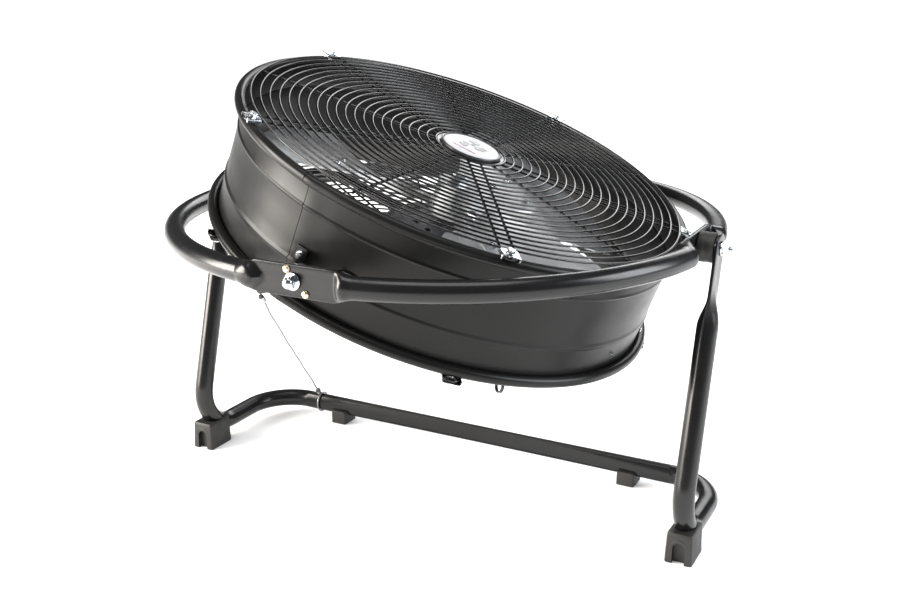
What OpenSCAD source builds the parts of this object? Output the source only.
// Floor-standing drum fan: a bent-tube stand carries a tilting hoop, and the
// hoop carries a tilting fan drum. Millimetres, +Z up, origin on the floor
// below the middle of the two leg pivots. The drum's own frame has its +z
// along the air stream, out of the front guard.

/* [Stand] */
// Height of the leg pivots above the floor
pivot_h = 358; // [350:1:366]
// Outer diameter of the stand and hoop tube
tube_d = 25; // [22:0.5:26]
// Wall thickness of the tube
tube_wall = 1.5; // [1.2:0.1:2]
// Distance of each leg from the middle
leg_x = 347; // [345:1:350]
// Lean of the legs towards the front, in degrees
leg_lean = 15.6; // [14:0.2:17]
// Height of the floor run of the tube, at its centre
base_z = 24; // [22:1:26]
// Distance of the crossbar behind the pivots
bar_y = 94; // [88:1:100]
// Bend radius between a leg and the floor run
foot_bend_r = 55; // [50:1:60]
// Bend radius of the crossbar corners
corner_r = 65; // [55:1:75]
// Distance of each rear pad from the middle
pad_x = 225; // [180:1:235]

/* [Hoop] */
// Centreline radius of the hoop
hoop_r = 334; // [333:0.5:335]
// Thickness of the flattened parts
flat_t = 7; // [6:0.5:8]
// Height of the flattened parts
flat_w = 35; // [32:1:36]

/* [Drum] */
// Tilt of the drum in the hoop at rest, in degrees
drum_tilt = 21; // [0:1:30]
// Outer radius of the drum wall
drum_r = 277.5; // [275:0.5:278]
// Thickness of the drum sheet
sheet_t = 1.5; // [1.2:0.1:2]
// Outer radius of the rolled rims
rim_r = 290; // [288:0.5:291]
// Front rim above the pivot axis
rim_front = 84; // [80:1:88]
// Rear rim below the pivot axis
rim_rear = 53; // [50:1:56]

/* [Guards] */
// Diameter of the concentric wires
wire_d = 2.5; // [2:0.1:3]
// Diameter of the radial wires
spoke_d = 3; // [2.5:0.1:3.5]
// Number of concentric wires
wire_count = 21; // [15:1:22]
// Radius of the innermost wire
wire_r_in = 45; // [43:1:50]
// Radius of the outermost wire
wire_r_out = 274; // [270:1:274]
// Number of clamps on each rim
clamp_count = 5; // [4:1:6]
// Direction of the first clamp, in degrees
clamp_phase = 19; // [0:1:30]
// Turn of the rear guard against the front one, in degrees
rear_turn = -2.2; // [-6:0.2:6]
// Diameter of the round badge
badge_d = 77; // [60:1:80]

/* [Fan] */
// Radius of the blade tips
blade_tip_r = 252; // [240:1:258]
// Direction of the first blade, in degrees
blade_phase = 85; // [0:1:119]
// Half of a blade's width at the tip, in degrees
blade_half_tip = 38; // [30:1:44]
// Half of a blade's width at the root, in degrees
blade_half_root = 30; // [22:1:36]
// Axial rise of a blade for each degree
blade_rate = 0.72; // [0.5:0.02:0.8]
// Height of the blade middle above the pivot axis
blade_mid = 22; // [18:1:26]

/* [Motor] */
// Radius of the motor shells
motor_r = 66; // [60:1:68]

/* [Hidden] */
$fn = 64;

tube_r = tube_d / 2;
bore_r = tube_r - tube_wall;
black = "#1b1b1c";
rubber = "#232323";
zinc = "#c3c7cb";
brass = "#cdb98a";
aluminium = "#c9cbcd";
steel = "#9aa0a6";
copper = "#b06a35";

// Leg line, from the pivot down and forward to the floor run
leg_full = (pivot_h - base_z) / cos(leg_lean);
bend_turn = 90 + leg_lean;
bend_tangent = foot_bend_r * tan(bend_turn / 2);
leg_run = leg_full - bend_tangent;
bend_y = -leg_full * sin(leg_lean) + bend_tangent;
bend_z = base_z + foot_bend_r;
leg_plate_t = 5;
leg_plate_x = 348;
leg_bolt_end = leg_plate_x + 17;
leg_nut_h = 8;
leg_plate_w = 34;
leg_plate_len = 45;
leg_taper_end = 90;
joint_swell = 0.2;

// Stack of parts on a leg pivot, along X from the middle
hoop_side_x = 322;
pivot_gap = 0.25;
bolt_r = 4;
bolt_hole_r = 4.1;
running_hole_r = 4.06;
hex_r = 7.5;
spacer_r = 17.5;
washer_t = 1.6;
washer_r = 8.5;

// Flattened lengths of the hoop: half length, and where the round tube starts
hoop_front_y = 330.5;
front_flat_half = 54;
front_round_at = 68;
side_flat_half = 44;
side_round_at = 60;

// Stack of parts on a drum pivot, along Y from the middle
bracket_out = 316;
bracket_t = 3;
lock_plate_in = 324;

// Rolled rim
bead_r = 6.4;
bead_centre = rim_r - bead_r;

// Guards
guard_z = 92.2;
guard_rear_z = 61.2;
spoke_pair = 8;
wire_lift = (spoke_d + wire_d) / 2 + 0.05;

// Tether: a steel cable from the hoop to the crossbar
tether_r = 1.25;
tether_route = [[-50, -323, 333], [-63, -297, 314], [-77, -272, 295], [-90, -246, 276],
    [-103, -220, 257], [-116, -195, 239], [-130, -169, 220], [-143, -143, 202], [-156, -118, 184],
    [-169, -92, 166], [-183, -66, 148], [-196, -41, 130], [-209, -15, 112], [-222, 11, 94],
    [-236, 36, 76], [-249, 62, 57], [-262, 88, 39]];
tether_top = tether_route[0];
tether_end = tether_route[16];

module on_both_x() {
    children();
    mirror([1, 0, 0]) children();
}

module on_both_y() {
    children();
    rotate([0, 0, 180]) children();
}

module in_hoop() {
    translate([0, 0, pivot_h]) children();
}

module in_drum() {
    in_hoop() rotate([0, drum_tilt, 0]) children();
}

// A cylinder between two points
module rod(a, b, r1, r2 = -1) {
    v = b - a;
    len = norm(v);
    translate(a)
        rotate([0, acos(v[2] / len), atan2(v[1], v[0])])
            cylinder(h = len, r1 = r1, r2 = r2 < 0 ? r1 : r2);
}

// Part of a torus about the Z axis, from a start angle
module arc_tube(path_r, r, start, turn) {
    rotate([0, 0, start])
        rotate_extrude(angle = turn)
            translate([path_r, 0]) circle(r);
}

// A disc with a hole, along Z
module ring_disc(r, hole_r, t) {
    difference() {
        cylinder(h = t, r = r);
        translate([0, 0, -1]) cylinder(h = t + 2, r = hole_r);
    }
}

// ---------- stand ----------

// Local frame of the right leg: +z runs down the leg from the pivot
module in_leg() {
    translate([leg_x, 0, pivot_h]) rotate([180 - leg_lean, 0, 0]) children();
}

// One side of the stand's tube, at radius r
module side_run(r, leg_from) {
    in_leg() {
        translate([0, 0, leg_from]) cylinder(h = leg_run - leg_from, r = r);
        translate([0, 0, leg_run]) sphere(r + joint_swell);
    }
    translate([leg_x, bend_y, base_z]) sphere(r + joint_swell);
    translate([leg_x, bend_y, bend_z]) rotate([90, 0, 90])
        arc_tube(foot_bend_r, r, 180 - leg_lean, bend_turn);
    translate([leg_x, bend_y, base_z]) rotate([-90, 0, 0])
        cylinder(h = bar_y - corner_r - bend_y, r = r);
    translate([leg_x - corner_r, bar_y - corner_r, base_z]) arc_tube(corner_r, r, 0, 90);
}

module crossbar(r) {
    half = leg_x - corner_r;
    translate([-half, bar_y, base_z]) rotate([0, 90, 0]) cylinder(h = 2 * half, r = r);
}

// Flattened top of the right leg
module leg_plate() {
    plate_off = leg_plate_x - leg_x;
    in_leg() {
        translate([plate_off - leg_plate_t / 2, 0, 0]) rotate([90, 0, 90])
            linear_extrude(leg_plate_t) union() {
                circle(leg_plate_w / 2);
                polygon([[-leg_plate_w / 2, 0], [leg_plate_w / 2, 0],
                    [leg_plate_w / 2, leg_plate_len], [tube_r - 0.5, leg_taper_end],
                    [-tube_r + 0.5, leg_taper_end], [-leg_plate_w / 2, leg_plate_len]]);
            }
        rod([plate_off, 0, leg_plate_len - 10], [0, 0, leg_taper_end], leg_plate_t / 2, tube_r);
        translate([0, 0, leg_taper_end]) sphere(tube_r + joint_swell);
    }
}

module base_tube() {
    color(black) difference() {
        union() {
            on_both_x() {
                side_run(tube_r, leg_taper_end);
                leg_plate();
            }
            crossbar(tube_r);
        }
        on_both_x() side_run(bore_r, leg_taper_end + 15);
        crossbar(bore_r);
        on_both_x() translate([leg_plate_x, 0, pivot_h]) rotate([0, 90, 0])
            cylinder(h = 20, r = bolt_hole_r, center = true);
        foot_screw_places() cylinder(h = 30, r = 2.2);
    }
}

front_foot_back = -42;
front_foot_front = -86;
foot_h = 38;
foot_w = 33;
foot_screw_y = -52;

// The right front foot: a rubber block that saddles the bend
module front_foot() {
    slope = 1.5;
    difference() {
        translate([leg_x, 0, 0]) rotate([90, 0, 90])
            translate([0, 0, -foot_w / 2]) linear_extrude(foot_w)
                polygon([[front_foot_front, 0], [front_foot_back + slope, 0],
                    [front_foot_back, foot_h - 8], [front_foot_back - 4, foot_h],
                    [front_foot_front + slope, foot_h]]);
        for (side = [-1, 1])
            translate([leg_x + side * (foot_w / 2 + 20 - 1.2), front_foot_front - 5, foot_h])
                rotate([0, side * -2, 0]) translate([-20, 0, -60]) cube([40, 60, 80]);
        side_run(tube_r + 0.2, leg_taper_end);
        translate([leg_x, front_foot_front + 4, 9]) rotate([90, 0, 0]) cylinder(h = 10, r = 7.5);
        translate([leg_x - 7.5, front_foot_front - 6, -1]) cube([15, 10, 10]);
        foot_screw_hole(leg_x, foot_screw_y);
    }
}

module foot_screw_hole(x, y) {
    translate([x, y, -1]) cylinder(h = 40, r = 2.3);
    translate([x, y, -1]) cylinder(h = 6, r = 4.6);
}

module foot_screw_places() {
    for (side = [-1, 1]) {
        translate([side * leg_x, foot_screw_y, 4]) children();
        translate([side * pad_x, bar_y, 4]) children();
    }
}

module front_foot_right() {
    color(rubber) front_foot();
}

module front_foot_left() {
    color(rubber) mirror([1, 0, 0]) front_foot();
}

module rear_pads() {
    pad_w = 24;
    pad_depth = 30;
    color(rubber) on_both_x() difference() {
        translate([pad_x - pad_w / 2, bar_y - pad_depth / 2, 0]) cube([pad_w, pad_depth, 19]);
        crossbar(tube_r + 0.2);
        foot_screw_hole(pad_x, bar_y);
    }
}

module foot_screws() {
    color(zinc) foot_screw_places() {
        translate([0, 0, -2]) cylinder(h = 2.5, r = 4.4);
        cylinder(h = 17, r = 2.1);
    }
}

// ---------- leg pivots ----------

plate_face = leg_plate_x + leg_plate_t / 2;
hoop_face = hoop_side_x + flat_t / 2;

// Places a part on the right and left pivot, with +z pointing outwards along X
module on_leg_pivots(x) {
    on_both_x() translate([x, 0, pivot_h]) rotate([0, 90, 0]) children();
}

module leg_bolts() {
    head_x = hoop_side_x - flat_t / 2 - pivot_gap;
    color(zinc) {
        on_leg_pivots(head_x - 5.3) rotate([0, 0, 12]) cylinder(h = 5.3, r = hex_r, $fn = 6);
        on_leg_pivots(head_x - 0.1) cylinder(h = leg_bolt_end - head_x, r = bolt_r);
    }
}

module leg_washers() {
    color(zinc) on_leg_pivots(plate_face) ring_disc(washer_r, bolt_hole_r, washer_t);
}

module leg_nuts() {
    color(zinc) on_leg_pivots(plate_face + washer_t) difference() {
        cylinder(h = leg_nut_h, r = hex_r, $fn = 6);
        translate([0, 0, -1]) cylinder(h = leg_nut_h + 2, r = bolt_hole_r);
    }
}

module leg_spacers() {
    t = leg_plate_x - leg_plate_t / 2 - hoop_face - pivot_gap;
    color(rubber) on_leg_pivots(hoop_face + pivot_gap) ring_disc(spacer_r, bolt_hole_r, t);
}

// ---------- tether ----------

function unit(v) = v / norm(v);
function tangent(p, i) = unit(p[min(i + 1, len(p) - 1)] - p[max(i - 1, 0)]);

// A closed tube along a list of points
module swept_tube(path, r, sides = 8) {
    last = len(path) - 1;
    pts = [for (i = [0:last]) let (t = tangent(path, i), u = unit(cross(t, [0, 0, 1])), v = cross(u, t))
        for (k = [0:sides - 1]) path[i] + r * cos(360 * k / sides) * u + r * sin(360 * k / sides) * v];
    walls = [for (i = [0:last - 1]) for (k = [0:sides - 1])
        let (a = i * sides + k, b = i * sides + (k + 1) % sides)
        each [[a, a + sides, b], [b, a + sides, b + sides]]];
    caps = [[for (k = [0:sides - 1]) k], [for (k = [sides - 1:-1:0]) last * sides + k]];
    polyhedron(points = pts, faces = concat(walls, caps));
}

module tether_cable() {
    color(steel) swept_tube(tether_route, tether_r);
}

// The cable's eye round the crossbar
module tether_loop() {
    color(steel) translate([tether_end[0], bar_y, base_z]) rotate([0, 90, 0])
        rotate_extrude() translate([tube_r + tether_r + 0.3, 0]) circle(tether_r);
}

module lower_ferrule() {
    dir = unit(tether_route[15] - tether_route[16]);
    color(steel) difference() {
        rod(tether_route[16] + dir * 8, tether_route[16] + dir * 26, 3);
        rod(tether_route[16] + dir * 4, tether_route[16] + dir * 30, tether_r + 0.8);
    }
}

module upper_ferrule() {
    dir = unit(tether_route[1] - tether_route[0]);
    color(steel) difference() {
        rod(tether_route[0] + dir * 4, tether_route[0] + dir * 20, 3);
        rod(tether_route[0], tether_route[0] + dir * 24, tether_r + 0.8);
    }
}

// Lug behind the front lock plate that holds the cable's top end
module tether_lug() {
    lug_t = 1.5;
    eye = [tether_top[0], tether_top[2] - pivot_h + 6.5];
    color(black) in_hoop() translate([0, -lock_plate_in + lug_t + 0.05, 0]) rotate([90, 0, 0])
        linear_extrude(lug_t) difference() {
            union() {
                polygon([[-17, -5], [-24, -4], eye + [2, 4.2], eye + [1, -4.6], [-17, -13]]);
                translate(eye) circle(4.5);
            }
            translate(eye) circle(2.4);
        }
}

// ---------- hoop ----------

// A flattened length of the hoop at distance d from the middle, along local x
module hoop_flat(d, half, round_at, path_r) {
    inset = 0.8;
    round_d = sqrt(path_r * path_r - round_at * round_at);
    translate([0, d + flat_t / 2, 0]) rotate([90, 0, 0]) linear_extrude(flat_t)
        polygon([[-round_at, -tube_r + 1], [-half, -flat_w / 2], [half, -flat_w / 2],
            [round_at, -tube_r + 1], [round_at, tube_r - 1], [half, flat_w / 2],
            [-half, flat_w / 2], [-round_at, tube_r - 1]]);
    for (side = [-1, 1]) {
        rod([side * (round_at + 5 * inset), round_d - inset / 2, 0], [side * (half - 6), d, 0],
            tube_r - inset, flat_t / 2);
    }
}

// The four round arcs between the flattened lengths
module hoop_arcs(r, trim) {
    front_a = asin(front_round_at / hoop_r) + trim;
    side_a = asin(side_round_at / hoop_r) + trim;
    for (k = [0, 1]) rotate([0, 0, 180 * k]) {
        arc_tube(hoop_r, r, side_a, 90 - side_a - front_a);
        arc_tube(hoop_r, r, 90 + front_a, 90 - side_a - front_a);
    }
}

rivet_places = [[-7, 12], [15, -12]];

module hoop_tube() {
    color(black) in_hoop() difference() {
        union() {
            hoop_arcs(tube_r, 0);
            for (a = [0, 180]) rotate([0, 0, a])
                hoop_flat(hoop_front_y, front_flat_half, front_round_at, hoop_r);
            for (a = [90, 270]) rotate([0, 0, a])
                hoop_flat(hoop_side_x, side_flat_half, side_round_at, hoop_r);
        }
        hoop_arcs(bore_r, 4);
        rotate([90, 0, 0]) cylinder(h = 800, r = bolt_hole_r, center = true);
        rotate([0, 90, 0]) cylinder(h = 800, r = running_hole_r, center = true);
        on_both_y() for (p = rivet_places)
            translate([p[0], -hoop_front_y, p[1]]) rotate([90, 0, 0])
                cylinder(h = 20, r = 2.6, center = true);
    }
}

// Places a part on the front and rear drum pivot, with +z pointing outwards along Y
module on_drum_pivots(y) {
    in_hoop() on_both_y() translate([0, -y, 0]) rotate([90, 0, 0]) children();
}

module lock_plates() {
    t = hoop_front_y - flat_t / 2 - lock_plate_in;
    color(steel) on_drum_pivots(lock_plate_in) linear_extrude(t) difference() {
        hull() for (p = [[-18, 8], [18, 8], [-18, -8], [18, -8]]) translate(p) circle(7, $fn = 32);
        circle(bolt_hole_r);
        for (p = rivet_places) translate(p) circle(2.6);
    }
}

module lock_plate_rivets() {
    out = hoop_front_y + flat_t / 2;
    color(brass) in_hoop() on_both_y() for (p = rivet_places)
        translate([p[0], 0, p[1]]) rotate([90, 0, 0]) {
            translate([0, 0, lock_plate_in + 0.2]) cylinder(h = out - lock_plate_in, r = 2.5);
            translate([0, 0, out + 0.05]) intersection() {
                cylinder(h = 3, r = 4.2);
                translate([0, 0, -2.4]) sphere(4.9);
            }
        }
}

module drum_bolts() {
    head_y = bracket_out - bracket_t - pivot_gap;
    color(zinc) {
        on_drum_pivots(head_y - 5.3) cylinder(h = 5.3, r = hex_r, $fn = 6);
        on_drum_pivots(head_y - 0.1) cylinder(h = 342 - head_y, r = bolt_r);
    }
}

module drum_spacers() {
    t = lock_plate_in - bracket_out - pivot_gap;
    color(rubber) on_drum_pivots(bracket_out + pivot_gap) ring_disc(15, bolt_hole_r, t);
}

module drum_bolt_washers() {
    color(zinc) on_drum_pivots(hoop_front_y + flat_t / 2) ring_disc(9.5, bolt_hole_r, washer_t);
}

module dome_nuts() {
    color(zinc) on_drum_pivots(hoop_front_y + flat_t / 2 + washer_t) difference() {
        union() {
            cylinder(h = 5.5, r = hex_r, $fn = 6);
            translate([0, 0, 5.5]) intersection() {
                cylinder(h = 7, r = 6.2);
                sphere(6.3);
            }
        }
        translate([0, 0, -1]) cylinder(h = 8, r = bolt_hole_r);
    }
}

// ---------- drum ----------

module at_clamp_angles() {
    for (i = [0:clamp_count - 1]) rotate([0, 0, clamp_phase + 360 * i / clamp_count]) children();
}

module at_clamps() {
    at_clamp_angles() translate([bead_centre, 0, 0]) children();
}

// Wall and rims: a thin wall with two swages, and a rolled bead at each end
module drum_shell() {
    r = drum_r;
    t = sheet_t;
    swage = 1.4;
    f = rim_front;
    b = -rim_rear;
    color(black) in_drum() difference() {
        union() {
            rotate_extrude($fn = 128) polygon([[r - t, b], [r, b], [r, -16], [r + swage, -14],
                [r + swage, -12], [r, -10], [r, 50], [r + swage, 51.5], [r, 53], [r, f],
                [r - t, f], [r - t, 53], [r + swage - t, 51.5], [r - t, 50], [r - t, -10],
                [r + swage - t, -12], [r + swage - t, -14], [r - t, -16]]);
            for (z = [f, b]) difference() {
                translate([0, 0, z]) rotate_extrude($fn = 128) translate([bead_centre, 0]) circle(bead_r);
                translate([0, 0, z]) rotate_extrude($fn = 128) translate([bead_centre, 0]) circle(bead_r - 1.2);
                translate([0, 0, z - 8]) cylinder(h = 16, r = r - t, $fn = 128);
            }
        }
        translate([0, 0, f]) at_clamps() cylinder(h = 20, r = 2.7);
        translate([0, 0, b - 20]) rotate([0, 0, rear_turn]) at_clamps() cylinder(h = 20, r = 2.7);
        for (p = bracket_screw_places) on_both_y()
            translate([p[0], -drum_r, p[1]]) rotate([90, 0, 0])
                cylinder(h = 20, r = 2.7, center = true);
        strap_screw_places() cylinder(h = 20, r = 2.7, center = true);
    }
}

// One wire guard with its spokes in the plane z = 0 and its rings above them. Its middle plate
// keeps its two holes in line with the drum when the guard is turned.
module guard(turned = 0) {
    step = (wire_r_out - wire_r_in) / (wire_count - 1);
    for (i = [0:wire_count - 1])
        translate([0, 0, wire_lift]) arc_tube(wire_r_in + i * step, wire_d / 2, 0, 360);
    translate([0, 0, spoke_d / 2 + 0.05]) difference() {
        cylinder(h = plate_t, r = wire_r_in - wire_d / 2 - 0.3);
        for (sx = [-1, 1]) rotate([0, 0, -turned]) translate([sx * housing_screw_x, housing_screw_y, -1])
            cylinder(h = 4, r = 2.1);
    }
    at_clamp_angles() {
        for (side = [-1, 1])
            translate([spoke_start, side * spoke_pair, 0]) rotate([0, 90, 0])
                cylinder(h = bead_centre - spoke_start, r = spoke_d / 2);
        translate([bead_centre, 0, 0]) arc_tube(spoke_pair, spoke_d / 2, -90, 180);
        rotate([0, 0, 180 / clamp_count]) translate([spoke_start, 0, 0]) rotate([0, 90, 0])
            cylinder(h = wire_r_out - spoke_start, r = spoke_d / 2);
    }
}

module front_guard() {
    color(black) in_drum() translate([0, 0, guard_z]) guard();
}

// The rear guard is the front one mirrored, so its spokes meet the same clamps
module rear_guard() {
    color(black) in_drum() mirror([0, 0, 1]) rotate([0, 0, rear_turn]) translate([0, 0, guard_rear_z])
        guard(rear_turn);
}

plate_t = 1.6;
spoke_start = 30;
badge_z = guard_z + spoke_d / 2 + plate_t + 0.1;

module badge() {
    r = badge_d / 2 - 2.6;
    color("#ececea") in_drum() translate([0, 0, badge_z]) rotate_extrude()
        polygon([[0, 0], [r, 0], [r, 2.4], [0.8 * r, 2.9], [0.5 * r, 3.4], [0.2 * r, 3.6], [0, 3.6]]);
}

module badge_rim() {
    color("#8d9092") in_drum() translate([0, 0, badge_z]) rotate_extrude()
        translate([badge_d / 2 - 2.5, 0]) polygon([[0, 0], [2.5, 0], [2.5, 2], [1.6, 3.4], [0, 3.4]]);
}

// Zinc clamp plate that bridges the two spokes of a pair
module clamp_plate() {
    difference() {
        translate([-8, -11, 0]) cube([17, 22, 2]);
        translate([0, 0, -1]) cylinder(h = 4, r = 2.7);
    }
    for (side = [-1, 1]) translate([-8, side * 10.4 - 0.6, -2.8]) cube([17, 1.2, 3.3]);
}

front_clamp_z = guard_z + spoke_d / 2 + 0.1;
rear_clamp_z = guard_rear_z + spoke_d / 2 + 0.1;

module front_clamps() {
    color(zinc) in_drum() translate([0, 0, front_clamp_z]) at_clamps() clamp_plate();
}

module rear_clamps() {
    color(black) in_drum() rotate([0, 0, rear_turn]) at_clamps() translate([0, 0, -rear_clamp_z])
        rotate([180, 0, 0]) clamp_plate();
}

// Clamp screw with its head at z = 0, pointing down
module clamp_screw() {
    cylinder(h = 1, r = 5.2);
    translate([0, 0, 0.9]) cylinder(h = 3.2, r = 4.3, $fn = 6);
    translate([0, 0, -15]) cylinder(h = 15.5, r = 2.4);
}

module clamp_screws() {
    color(zinc) in_drum() {
        translate([0, 0, front_clamp_z + 2.05]) at_clamps() clamp_screw();
        rotate([0, 0, rear_turn]) at_clamps() translate([0, 0, -rear_clamp_z - 2.05]) rotate([180, 0, 0])
            clamp_screw();
    }
}

module clamp_nuts() {
    color(zinc) in_drum() {
        translate([0, 0, rim_front - 2]) at_clamps() clamp_nut();
        translate([0, 0, -rim_rear - 2]) rotate([0, 0, rear_turn]) at_clamps() clamp_nut();
    }
}

module clamp_nut() {
    difference() {
        cylinder(h = 4, r = 4.6, $fn = 6);
        translate([0, 0, -1]) cylinder(h = 6, r = 2.5);
    }
}

bracket_low = -9.5;
bracket_high = 10;
bracket_screw_places = [[-30, 0], [30, 0]];

// Hat-shaped bracket between the drum wall and a drum pivot, bent from one strip
module drum_bracket() {
    strip_h = bracket_high - bracket_low;
    leg_top = 15;
    leg_foot = 21;
    foot_end = 38;
    foot_r = drum_r + 0.2;
    difference() {
        translate([0, 0, bracket_low]) linear_extrude(strip_h) union() {
            translate([-leg_top, -bracket_out]) square([2 * leg_top, bracket_t]);
            for (side = [-1, 1])
                polygon([[side * leg_top, -bracket_out], [side * (leg_foot + bracket_t), -foot_r + 1],
                    [side * leg_foot, -foot_r + 1], [side * (leg_top - bracket_t), -bracket_out + bracket_t]]);
            intersection() {
                circle(foot_r + bracket_t, $fn = 128);
                for (side = [-1, 1]) translate([side * (leg_foot + foot_end) / 2, -foot_r])
                    square([foot_end - leg_foot, 20], center = true);
            }
        }
        cylinder(h = 60, r = foot_r, center = true, $fn = 128);
        translate([0, -bracket_out, 0]) rotate([90, 0, 0]) cylinder(h = 20, r = running_hole_r, center = true);
        for (p = bracket_screw_places) translate([p[0], -drum_r, p[1]]) rotate([90, 0, 0])
            cylinder(h = 20, r = 2.7, center = true);
    }
}

module drum_bracket_front() {
    color(black) in_drum() drum_bracket();
}

module drum_bracket_rear() {
    color(black) in_drum() rotate([0, 0, 180]) drum_bracket();
}

module bracket_screws() {
    color(zinc) in_drum() on_both_y() for (p = bracket_screw_places)
        translate([p[0], -drum_r - bracket_t - 0.2, p[1]]) rotate([90, 0, 0]) {
            cylinder(h = 1.2, r = 6);
            translate([0, 0, 1.1]) cylinder(h = 3.2, r = 4.4, $fn = 6);
            translate([0, 0, -9]) cylinder(h = 10, r = 2.4);
        }
}

// ---------- motor ----------

motor_back = -56;
motor_split = -30;
motor_front = -8;
shell_t = 2;
motor_screw_r = motor_r + 4.4;
flange_r = motor_r + 8.5;

// Drawn shell, open at z = 0, closed at z = depth
module motor_cup(depth) {
    difference() {
        union() {
            rotate_extrude() polygon([[0, depth], [30, depth], [motor_r - 8, depth - 3], [motor_r, depth - 11],
                [motor_r, 2.5], [flange_r, 2.5], [flange_r, 0], [motor_r - shell_t, 0],
                [motor_r - shell_t, depth - 12], [motor_r - 9, depth - 5], [30, depth - shell_t],
                [0, depth - shell_t]]);
            translate([0, 0, depth - 8]) cylinder(h = 7.5, r = 18);
        }
        translate([0, 0, depth - 9]) cylinder(h = 6, r = 11.1);
        translate([0, 0, depth - 20]) cylinder(h = 30, r = 7);
        for (a = [45:90:315]) rotate([0, 0, a]) translate([motor_screw_r, 0, -1]) cylinder(h = 6, r = 2.3);
        for (a = [0:30:330]) rotate([0, 0, a]) translate([42, 0, depth - 12]) cylinder(h = 20, r = 4);
    }
}

module motor_front_shell() {
    color(steel) in_drum() translate([0, 0, motor_split]) motor_cup(motor_front - motor_split);
}

module motor_rear_shell() {
    color(steel) in_drum() translate([0, 0, motor_split - 0.05]) rotate([180, 0, 0])
        motor_cup(motor_split - motor_back);
}

module motor_screws() {
    color(zinc) in_drum() for (a = [45:90:315]) rotate([0, 0, a])
        translate([motor_screw_r, 0, motor_split]) {
            translate([0, 0, 2.6]) cylinder(h = 3, r = 4, $fn = 6);
            translate([0, 0, -12]) cylinder(h = 15, r = 2.1);
        }
}

module stator_core() {
    color(steel) in_drum() translate([0, 0, motor_split - 9]) difference() {
        cylinder(h = 18, r = motor_r - shell_t - 0.3);
        translate([0, 0, -1]) cylinder(h = 20, r = 36);
        for (a = [0:15:345]) rotate([0, 0, a]) translate([41, 0, -1]) cylinder(h = 20, r = 3.4);
    }
}

module stator_coils() {
    color(copper) in_drum() for (z = [motor_split - 14.2, motor_split + 9.2]) translate([0, 0, z])
        rotate_extrude() translate([38, 0]) square([14, 5]);
}

module bearing() {
    difference() {
        cylinder(h = 5.8, r = 11);
        translate([0, 0, -1]) cylinder(h = 8, r = 6.05);
    }
}

module front_bearing() {
    color(zinc) in_drum() translate([0, 0, motor_front - 8.9]) bearing();
}

module rear_bearing() {
    color(zinc) in_drum() translate([0, 0, motor_back + 3.0]) bearing();
}

strap_y = 50;
strap_z = -43.5;
strap_w = 26;
strap_t = 3;
strap_end = sqrt(pow(drum_r - sheet_t - 0.4, 2) - pow(strap_y + strap_w / 2, 2));

module strap_screw_places() {
    for (sx = [-1, 1]) for (sy = [-1, 1])
        translate([sx * strap_end, sy * strap_y, strap_z + 12]) rotate([0, 90, 0]) children();
}

module at_motor_screws() {
    for (a = [45:90:315]) rotate([0, 0, a]) translate([motor_screw_r, 0, strap_z]) children();
}

// Two steel straps that cross the drum, with a ring and four bosses under the motor flange
module motor_straps() {
    ring_t = 3;
    color(black) in_drum() difference() {
        union() {
            for (sy = [-1, 1]) {
                translate([-strap_end, sy * strap_y - strap_w / 2, strap_z])
                    cube([2 * strap_end, strap_w, strap_t]);
                for (sx = [-1, 1])
                    translate([sx * (strap_end - strap_t / 2) - strap_t / 2, sy * strap_y - strap_w / 2, strap_z])
                        cube([strap_t, strap_w, 22]);
            }
            translate([0, 0, strap_z]) cylinder(h = ring_t, r = motor_r + 12);
            at_motor_screws() cylinder(h = motor_split - 2.6 - strap_z, r = 4);
        }
        translate([0, 0, strap_z - 1]) cylinder(h = 20, r = motor_r + 0.3);
        at_motor_screws() translate([0, 0, -1]) cylinder(h = 20, r = 2.3);
        strap_screw_places() cylinder(h = 20, r = 2.7, center = true);
    }
}

module strap_screws() {
    color(zinc) in_drum() for (sx = [-1, 1]) for (sy = [-1, 1])
        translate([0, sy * strap_y, strap_z + 12]) rotate([0, sx * 90, 0]) {
            translate([0, 0, strap_end - 5]) cylinder(h = 12, r = 2.4);
            translate([0, 0, strap_end - 8]) cylinder(h = 4.8, r = 4.4, $fn = 6);
        }
}

module capacitor() {
    color("#d9d9d6") in_drum() translate([100, strap_y, strap_z + strap_t + 16.2]) rotate([0, 90, 0])
        cylinder(h = 60, r = 15);
}

module capacitor_clip() {
    color(zinc) in_drum() translate([122, strap_y, strap_z + strap_t + 16.2]) rotate([0, 90, 0]) difference() {
        cylinder(h = 14, r = 16.1);
        translate([0, 0, -1]) cylinder(h = 16, r = 15.1);
    }
}

// ---------- rear controls ----------

housing_w = 96;
housing_d = 62;
housing_top = -guard_rear_z - wire_lift - wire_d / 2 - 0.1;
housing_depth = 24;
housing_screw_x = 30;
housing_screw_y = -18;

module switch_housing() {
    color(black) in_drum() translate([0, 0, housing_top - housing_depth]) difference() {
        hull() for (p = [[-1, -1], [1, -1], [-1, 1], [1, 1]])
            translate([p[0] * (housing_w / 2 - 10), p[1] * (housing_d / 2 - 10), 0])
                cylinder(h = housing_depth, r = 10, $fn = 32);
        hull() for (p = [[-1, -1], [1, -1], [-1, 1], [1, 1]])
            translate([p[0] * (housing_w / 2 - 10), p[1] * (housing_d / 2 - 10), 2.5])
                cylinder(h = housing_depth, r = 7.5, $fn = 32);
        translate([0, 0, -1]) cylinder(h = 5, r = 5.1);
        translate([-housing_w / 2, 0, 12]) rotate([0, 90, 0]) cylinder(h = 12, r = 6.1, center = true);
        for (sx = [-1, 1]) translate([sx * housing_screw_x, housing_screw_y, -1]) cylinder(h = 5, r = 2.1);
    }
}

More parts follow.
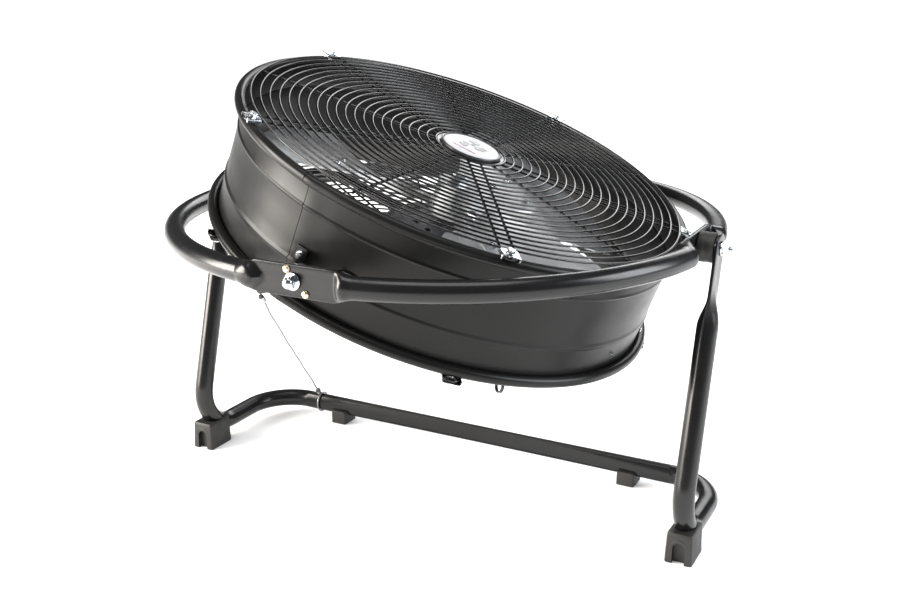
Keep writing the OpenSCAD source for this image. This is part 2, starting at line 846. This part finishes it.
module switch_housing_screws() {
    color(zinc) in_drum() for (sx = [-1, 1])
        translate([sx * housing_screw_x, housing_screw_y, housing_top - housing_depth - 2.1]) {
            cylinder(h = 2, r = 3.6);
            cylinder(h = housing_depth + 6, r = 1.9);
        }
}

module rotary_switch() {
    color("#2a2a2a") in_drum() translate([-14, -14, housing_top - housing_depth + 3]) cube([28, 28, 16]);
}

module cable_gland() {
    color(black) in_drum() translate([-housing_w / 2, 0, housing_top - housing_depth + 12])
        rotate([0, -90, 0]) difference() {
            union() {
                translate([0, 0, -4]) cylinder(h = 6, r = 6);
                translate([0, 0, 0.1]) cylinder(h = 5, r = 9, $fn = 6);
                translate([0, 0, 5]) cylinder(h = 9, r1 = 8, r2 = 6);
            }
            translate([0, 0, -5]) cylinder(h = 22, r = 3.6);
        }
}

// Nylon tie looped through the rear guard's outer wires
module cable_tie() {
    tie_a = -42.7;
    color(black) in_drum() rotate([0, 0, tie_a]) translate([wire_r_out, 0, -66.5]) rotate([90, 0, 0])
        rotate_extrude() translate([8, 0]) square([1.2, 3.6], center = true);
}

module speed_knob() {
    z = housing_top - housing_depth;
    color(black) in_drum() {
        translate([0, 0, z - 16.5]) difference() {
            union() {
                cylinder(h = 13, r1 = 15, r2 = 17);
                translate([0, 0, 13]) cylinder(h = 3, r = 19);
            }
            for (side = [-1, 1]) translate([side * 14 - 9, -25, -1]) cube([18, 50, 11]);
        }
        translate([0, 0, z - 1]) cylinder(h = 3.4, r = 5);
    }
}

// ---------- fan ----------

blade_root_r = 50;
blade_t = 1.8;
blade_camber = 7;
hub_bottom = 4;
hub_r = 25;
arm_t = 2.6;

function blend(a, b, s) = a + (b - a) * s;
function span_s(r) = max(0, min(1, (r - blade_root_r) / (blade_tip_r - blade_root_r)));
function blade_half(r) = blend(blade_half_root, blade_half_tip, span_s(r)) * (1 - 0.16 * pow(span_s(r), 8));
function blade_skew(r) = -10 * span_s(r) * span_s(r);
function blade_height(r, d) = let (t = d / blade_half_tip)
    blade_mid + blade_rate * d - blade_camber * (1 - t * t);

function sheet_point(a, r, d, off) = [r * cos(a + blade_skew(r) + d), r * sin(a + blade_skew(r) + d),
    blade_height(r, d) + off];

// A patch of the blade's surface: r from r0 to r1, width lo to hi as a fraction of the blade's half
module sheet_patch(a, r0, r1, lo, hi, off, t, rows, cols) {
    top = [for (i = [0:rows]) for (j = [0:cols]) let (r = blend(r0, r1, i / rows))
        sheet_point(a, r, blade_half(r) * blend(lo, hi, j / cols), off)];
    low = [for (p = top) p - [0, 0, t]];
    n = len(top);
    w = cols + 1;
    skin = [for (i = [0:rows - 1]) for (j = [0:cols - 1]) let (k = i * w + j)
        each [[k, k + w, k + w + 1], [k, k + w + 1, k + 1]]];
    under = [for (f = skin) [f[2] + n, f[1] + n, f[0] + n]];
    rim = concat([for (j = [0:cols]) j], [for (i = [1:rows]) i * w + cols],
        [for (j = [cols - 1:-1:0]) rows * w + j], [for (i = [rows - 1:-1:1]) i * w]);
    m = len(rim);
    wall = [for (i = [0:m - 1]) let (p = rim[i], q = rim[(i + 1) % m])
        each [[p, q, q + n], [p, q + n, p + n]]];
    polyhedron(points = concat(top, low), faces = concat(skin, under, wall));
}

module blade(i) {
    color(aluminium) in_drum()
        sheet_patch(blade_phase + 120 * i, blade_root_r, blade_tip_r, -1, 1, 0, blade_t, 10, 12);
}

module blade_1() {
    blade(0);
}

module blade_2() {
    blade(1);
}

module blade_3() {
    blade(2);
}

// Three pressed arms in front of the blades
module blade_arms() {
    color(steel) in_drum() for (i = [0:2])
        sheet_patch(blade_phase + 120 * i, hub_r - 1.5, 165, -0.45, 0.25, arm_t + 0.1, arm_t, 8, 4);
}

arm_screw_places = [[150, -0.3], [110, 0.1], [150, 0.15]];

module blade_screws() {
    color(zinc) in_drum() for (i = [0:2]) for (p = arm_screw_places)
        let (r = p[0], d = blade_half(r) * p[1])
        translate(sheet_point(blade_phase + 120 * i, r, d, arm_t + 1.8)) {
            cylinder(h = 3.5, r = 5);
            translate([0, 0, -8]) cylinder(h = 9, r = 2.4);
        }
}

module shaft() {
    color(steel) in_drum() translate([0, 0, motor_back + 2.2]) cylinder(h = 60 - motor_back - 2.2, r = 6);
}

module rotor_core() {
    color(steel) in_drum() translate([0, 0, motor_split - 9]) ring_disc(35.4, 6.05, 18);
}

module hub() {
    color(aluminium) in_drum() difference() {
        translate([0, 0, hub_bottom]) cylinder(h = 44, r = hub_r);
        translate([0, 0, hub_bottom - 1]) cylinder(h = 60, r = 6.05);
    }
}

module hub_nut() {
    color(zinc) in_drum() translate([0, 0, hub_bottom + 44.1]) difference() {
        cylinder(h = 8, r = 11, $fn = 6);
        translate([0, 0, -1]) cylinder(h = 10, r = 6.05);
    }
}

base_tube();
front_foot_left();
front_foot_right();
rear_pads();
foot_screws();
leg_bolts();
leg_washers();
leg_nuts();
leg_spacers();
tether_loop();
lower_ferrule();
tether_cable();
upper_ferrule();
tether_lug();
hoop_tube();
lock_plates();
lock_plate_rivets();
drum_bolts();
drum_bolt_washers();
dome_nuts();
drum_spacers();
drum_shell();
front_guard();
rear_guard();
badge();
badge_rim();
front_clamps();
rear_clamps();
clamp_screws();
clamp_nuts();
drum_bracket_front();
drum_bracket_rear();
bracket_screws();
motor_front_shell();
motor_rear_shell();
motor_screws();
stator_core();
stator_coils();
front_bearing();
rear_bearing();
motor_straps();
strap_screws();
capacitor();
capacitor_clip();
switch_housing();
switch_housing_screws();
rotary_switch();
cable_gland();
cable_tie();
shaft();
rotor_core();
hub();
blade_arms();
blade_1();
blade_2();
blade_3();
blade_screws();
hub_nut();
speed_knob();
